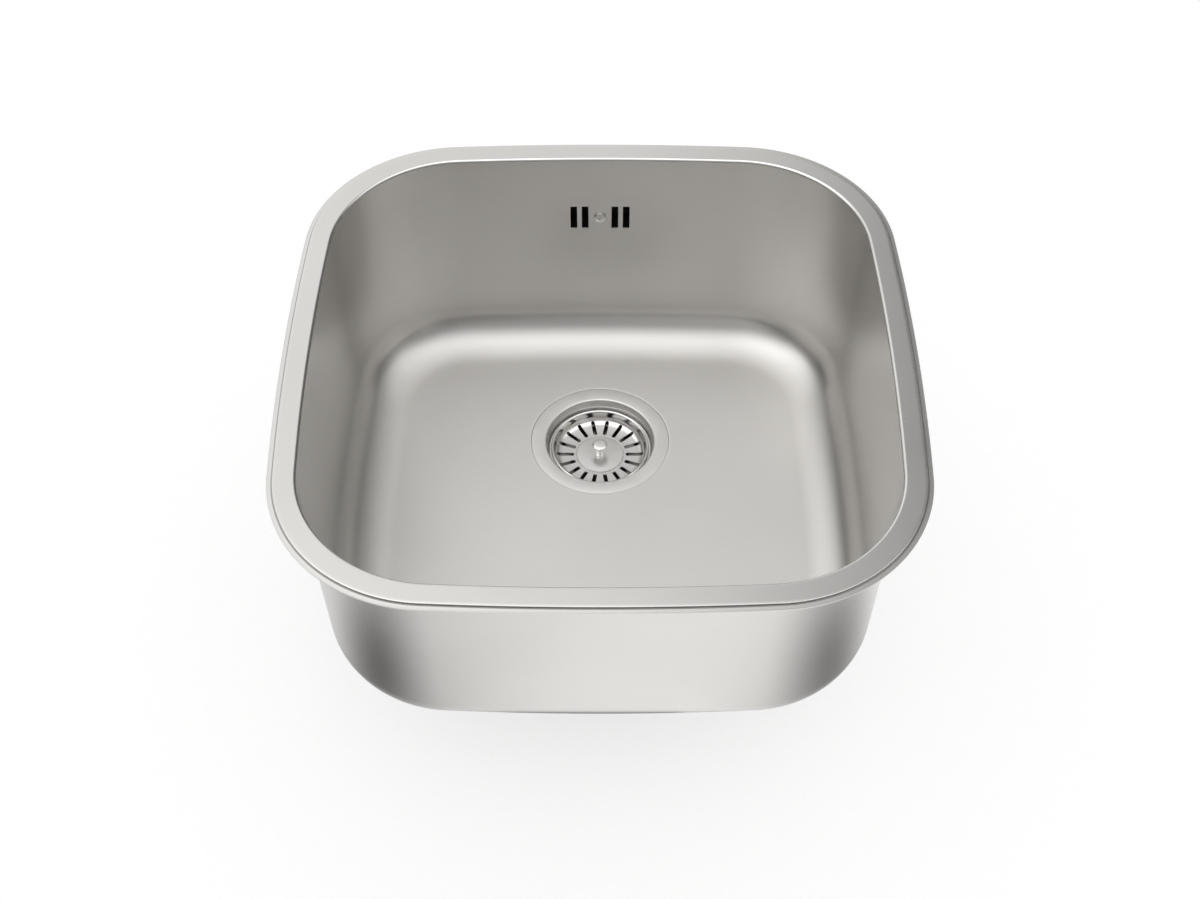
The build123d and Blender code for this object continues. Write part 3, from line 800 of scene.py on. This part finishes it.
# The overflow's hose: straight back from the waste, a quarter bend and straight up, with round ribs.
hoseSizes = {
    "start": (145.9, -211.6), "run": 34.6, "bend": 45.0, "length": 171.39,
    "bore": 9.0, "valley": 10.35, "crest": 12.4, "cuff": 11.2, "flange": 12.8,
    "flangeEnd": 2.0, "cuffEnd": 9.0, "cuffBevel": 0.6,
    "ribs": 36, "ribSteps": 10, "ribMiddle": 0.55, "ribSwing": 0.62, "boreSteps": 60, "columns": 64,
}


def hoseRings(travel, radius):
    # Circles across the hose: straight for the first run, then turning round the bend, then straight up.
    sizes = hoseSizes
    turn = np.clip((travel - sizes["run"]) / sizes["bend"], 0, pi / 2)
    after = np.clip(travel - sizes["run"] - sizes["bend"] * pi / 2, 0, None)
    y = sizes["start"][0] + np.minimum(travel, sizes["run"]) + sizes["bend"] * np.sin(turn)
    z = sizes["start"][1] + sizes["bend"] * (1 - np.cos(turn)) + after
    angles = evenAngles(sizes["columns"])
    out = radius[:, None] * np.sin(angles)
    return np.stack([
        radius[:, None] * np.cos(angles),
        y[:, None] - out * np.sin(turn)[:, None],
        z[:, None] + out * np.cos(turn)[:, None],
    ], 2)


def makeHose():
    # A rib's height is a cosine about its middle, cut off at the valley and the crest, and then rounded by
    # the sine of a quarter turn. The skin goes out along the ribs and comes back along the bore.
    sizes = hoseSizes
    ribbed = sizes["length"] - 2 * sizes["cuffEnd"]
    share = np.arange(sizes["ribs"] * sizes["ribSteps"] + 1) / sizes["ribSteps"]
    wave = np.clip(sizes["ribMiddle"] - sizes["ribSwing"] * np.cos(2 * pi * share), 0, 1)
    rib = sizes["valley"] + (sizes["crest"] - sizes["valley"]) * np.sin(wave * pi / 2)
    endTravel = np.array([0.0, sizes["flangeEnd"], sizes["flangeEnd"], sizes["cuffEnd"] - sizes["cuffBevel"]])
    endRadius = np.array([sizes["flange"], sizes["flange"], sizes["cuff"], sizes["cuff"]])
    travel = np.concatenate([
        endTravel, sizes["cuffEnd"] + share * ribbed / sizes["ribs"], sizes["length"] - endTravel[::-1],
        np.linspace(sizes["length"], 0, sizes["boreSteps"]), [0.0],
    ])
    bore = np.full(sizes["boreSteps"], sizes["bore"])
    radius = np.concatenate([endRadius, rib, endRadius[::-1], bore, [sizes["flange"]]])
    hose = closedSkin("overflowHoseRibbed", place(hoseRings(travel, radius)), smoothUnder=50)
    return dress(hose, "hosePlastic", "sink", "hose_plastic", "overflow_hose")


makeHose()
print("hose made")


# The hose's cap nuts: eight soft flats with fine grips, and a bevel at both ends.
nutSizes = {
    "corners": [(13.1, 0.0), (16.3, 0.0), (16.3, 19.0), (11.6, 19.0), (11.6, 16.0), (13.1, 16.0),
                (13.1, 0.0)],
    "radii": [0.8, 1.4, 0.4, 0.3, 0.3],
    "flats": 8, "flatRadius": 15.75, "cornerRadius": 16.75, "columns": 384,
    "shapedFrom": (14.6, 1.4),               # the radius where the flats begin, and over how far they come in
    "gripDepth": 0.22, "gripsPerFlat": 8, "gripEnds": (1.5, 16.5), "gripFade": 0.8,
    "lowerStart": (0.0, 131.9, -211.6), "upperStart": (0.0, 225.5, -86.5),
}


def makeNut(name, start, along, node):
    # The outside radius is the flat's, radius / cos(angle from its middle), held under the corner radius,
    # less a small groove that repeats along each flat. The nut's own axis then points back or down.
    sizes = nutSizes
    line = roundLine(sizes["corners"], sizes["radii"], steps=5)[0]
    radius, height = line[:, :1], line[:, 1:]
    angles = evenAngles(sizes["columns"])
    pitch = 2 * pi / sizes["flats"]
    flat = sizes["flatRadius"] / np.cos((angles % pitch) - pitch / 2)
    outside = np.minimum(flat, sizes["cornerRadius"])
    grooves = sizes["gripDepth"] * (0.5 + 0.5 * np.cos(angles * sizes["flats"] * sizes["gripsPerFlat"]))
    shapedFrom, shapedOver = sizes["shapedFrom"]
    share = np.clip((radius - shapedFrom) / shapedOver, 0, 1)
    gripStart, gripEnd = sizes["gripEnds"]
    gripped = np.clip(np.minimum(height - gripStart, gripEnd - height) / sizes["gripFade"], 0, 1)
    skirt = sizes["corners"][1][0]
    radius = radius + share * (outside - skirt) - share * gripped * grooves
    x, y, z = np.moveaxis(ringPoints(radius, height, angles), 2, 0)
    grid = np.stack([x, z, -y] if along == "back" else [x, -y, -z], 2)
    nut = closedSkin(name, place(grid, start), smoothUnder=35)
    return dress(nut, "nutPlastic", "sink", "nut_plastic", node)


makeNut("lowerCapNut", nutSizes["lowerStart"], "back", "lower_hose_nut")
makeNut("upperCapNut", nutSizes["upperStart"], "down", "upper_hose_nut")
print("cap nuts made")


# The thread on the waste's outlet: one ridge wound round the pipe, fading out at both ends.
# Heights are from the flange's top, and the section's points are shares of the height and of the pitch.
threadSizes = {
    "radius": 23.75, "height": 0.75, "pitch": 2.31, "top": -68.9, "bottom": -77.2,
    "section": [(0.0, -0.42), (1.0, -0.1), (1.0, 0.1), (0.0, 0.42), (-0.2, 0.0)],
    "steps": 84, "fadeTurns": 0.4, "thinnest": 0.02,
}


def makeThread():
    # (r cos a, r sin a, pitch * a / full turn), with a section that grows from nearly nothing.
    sizes = threadSizes
    length = sizes["top"] - sizes["bottom"] - sizes["pitch"]
    turns = length / sizes["pitch"]
    share = np.linspace(0, 1, int(turns * sizes["steps"]))
    angle = share * turns * 2 * pi
    grow = np.clip(np.minimum(share, 1 - share) * turns / sizes["fadeTurns"], sizes["thinnest"], 1)
    corners = []
    for out, up in sizes["section"]:
        radius = sizes["radius"] + sizes["height"] * out * grow
        height = sizes["bottom"] + sizes["pitch"] / 2 + length * share + sizes["pitch"] * up * grow
        corners.append(np.stack([radius * np.cos(angle), radius * np.sin(angle), height], 1))
    grid = place(np.stack(corners, 1), wasteAxis)
    rows, columns = grid.shape[:2]
    faces = ringFaces(rows, columns).tolist()
    faces += [list(range(columns))[::-1], [(rows - 1) * columns + corner for corner in range(columns)]]
    thread = toMesh("outletThread", grid, faces, alongGrid(grid), smoothUnder=40)
    return dress(thread, "wastePlastic", "sink", "waste_plastic")


makeThread()
print("thread made")


# The finishes of the frame's own nodes.
nodeFinishes = {
    "wastePlastic": ["waste_body"],
    "housingPlastic": ["overflow_housing"],
    "dampingRubber": ["sound_pad"],
    "sealRubber": ["drain_gasket", "body_gasket", "overflow_gasket", "stopper_seal", "lower_hose_seal",
                   "upper_hose_seal"],
    "brass": ["screw_insert", "overflow_insert"],
    "smallSteel": ["waste_screw", "basket_stem", "basket_washer", "stem_nut", "catch_ring"],
}
for finishName, nodeNames in nodeFinishes.items():
    for nodeName in nodeNames:
        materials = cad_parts[nodeName].data.materials
        materials.clear()
        materials.append(finishes[finishName])
print("nodes dressed")


# Camera, floor and light. Distances here are metres.
studio = {
    "cameraPlace": (0.0, -0.8417, 0.8788), "cameraPitch": 40.37, "lens": 50.85, "clipEnd": 100,
    "floorHeight": cadBox[0].z, "floorSize": 30.0, "floorShade": 0.58, "floorGlow": 0.62,
    "frontLift": 0.25, "liftFrom": (-0.16, 0.02),       # a brighter reflection of the floor on the right
    "lightLevel": 0.70,                                 # the soft light itself
    # How bright reflections of the studio are in front, overhead and behind, and the tilts between them.
    # The tilt is -1 straight in front, 0 straight up and 1 straight behind.
    "frontShade": 0.35, "topShade": 2.15, "backShade": 0.94,
    "frontTilt": (-0.95, -0.1), "backTilt": (0.2, 0.6),
    # How that differs from left to right, and towards either side.
    "leftShade": 1.25, "rightShade": 0.85, "leftToRight": (-0.5, 0.5),
    "sideShade": 0.6, "sideFrom": (0.4, 0.9),
    # The dark flag behind on the right, where it starts, and how much it takes away.
    "flagShade": 0.72, "flagAcross": (0.15, 0.26), "flagTilt": (0.2, 0.5),
    "leastLevel": 0.01, "leastBehind": 0.05,            # which keep the divisors above zero
    # Soft dark cards: x, y, where each starts to fade, where it ends, and its shade.
    "cards": {
        "leftCard": (-0.245, -0.22, 0.0, 0.17, 0.10),
        "rightCard": (0.255, -0.20, 0.0, 0.19, 0.20),
        "underCard": (0.0, 0.0, 0.17, 0.225, 0.05),
    },
    "cardLift": 0.002,
}


def makeCamera():
    lens = bpy.data.cameras.new("camera")
    lens.lens = studio["lens"]
    lens.clip_end = studio["clipEnd"]
    camera = bpy.data.objects.new("camera", lens)
    camera.location = studio["cameraPlace"]
    camera.rotation_euler = (radians(studio["cameraPitch"]), 0, 0)
    bpy.context.scene.collection.objects.link(camera)
    bpy.context.scene.camera = camera


def stagePlane(name, centre, half, material):
    # a level square
    x, y, z = centre
    mesh = bpy.data.meshes.new(name)
    signs = ((-1, -1), (1, -1), (1, 1), (-1, 1))
    mesh.from_pydata([(x + signX * half, y + signY * half, z) for signX, signY in signs], [], [(0, 1, 2, 3)])
    mesh.materials.append(material)
    plane = bpy.data.objects.new(name, mesh)
    bpy.context.scene.collection.objects.link(plane)
    return plane


def makeFloor():
    # Pale paper that also glows for what the camera sees, directly, in a reflection or through glass.
    finish = newFinish("studioFloor")
    light = finish.add("LightPath")
    glossy, camera = light.out("Is Glossy Ray"), light.out("Is Camera Ray")
    seen = camera.maths("MAXIMUM", camera, glossy)
    seen = seen.maths("MAXIMUM", seen, light.out("Is Transmission Ray"))
    paper = finish.add("BsdfDiffuse", {}, {"Color": grey(studio["floorShade"])})
    across = finish.split(finish.objectPlace())[0]
    lift = glossy * finish.range(across, *studio["liftFrom"], 0.0, studio["frontLift"])
    glow = finish.add("Emission", {}, {"Color": grey(1), "Strength": seen * studio["floorGlow"] + lift})
    material = finish.close(finish.add("AddShader", {}, {0: paper, 1: glow}))
    stagePlane("studioFloor", (0, 0, studio["floorHeight"]), studio["floorSize"] / 2, material)


def makeCards():
    # The cards lie on the floor, beside the front and under the bowl, and only reflections show them.
    for name, (x, y, inner, reach, shade) in studio["cards"].items():
        centre = (x, y, studio["floorHeight"] + studio["cardLift"])
        finish = newFinish(name)
        spot = finish.add("TexCoord").out("Object")
        away = finish.add("VectorMath", {"operation": "DISTANCE"}, {0: spot, 1: centre}).out("Value")
        glow = finish.add("Emission", {}, {"Color": grey(1), "Strength": shade})
        share = finish.range(away, inner, reach, 1.0, 0.0)
        soft = finish.add("MixShader", {}, {0: share, 1: finish.add("BsdfTransparent"), 2: glow})
        card = stagePlane(name, centre, reach, finish.close(soft))
        card.visible_camera = False
        card.visible_diffuse = False
        card.visible_shadow = False
        card.visible_transmission = False


def makeWorld():
    # A white studio. Reflections see it brightest overhead, darker in front than behind, with a dark flag
    # behind on the right. Its shade follows the direction of the ray, and the camera sees plain white.
    world = bpy.data.worlds.new("studio")
    bpy.context.scene.world = world
    finish = Finish(world)
    x, y, z = finish.split(finish.add("TexCoord").out("Generated"))
    level = (y * y + z * z) ** 0.5
    tilt = y / level.maths("MAXIMUM", level, studio["leastLevel"])
    front = finish.range(tilt, *studio["frontTilt"], studio["frontShade"], studio["topShade"])
    back = finish.range(tilt, *studio["backTilt"], 0.0, studio["topShade"] - studio["backShade"])
    behind = y.maths("MAXIMUM", y, studio["leastBehind"])
    flag = finish.range(x / behind, *studio["flagAcross"], 0.0, 1.0)
    flag = flag * finish.range(tilt, *studio["flagTilt"], 0.0, 1.0)
    side = finish.range(x, *studio["leftToRight"], studio["leftShade"], studio["rightShade"])
    away = finish.range(x.maths("ABSOLUTE", x), *studio["sideFrom"], 1.0, studio["sideShade"])
    shade = (front - back - flag * studio["flagShade"]) * side * away
    light = finish.add("LightPath")
    glossy, camera = light.out("Is Glossy Ray"), light.out("Is Camera Ray")
    camera = camera.maths("MAXIMUM", camera, light.out("Is Transmission Ray"))
    others = 1.0 - glossy - camera
    strength = glossy * shade + camera + others * studio["lightLevel"]
    sky = finish.add("Background", {}, {"Color": grey(1), "Strength": strength})
    finish.add("OutputWorld", {}, {"Surface": sky})


makeCamera()
makeFloor()
makeCards()
makeWorld()
bpy.context.scene.view_settings.view_transform = "Standard"
print("studio made")
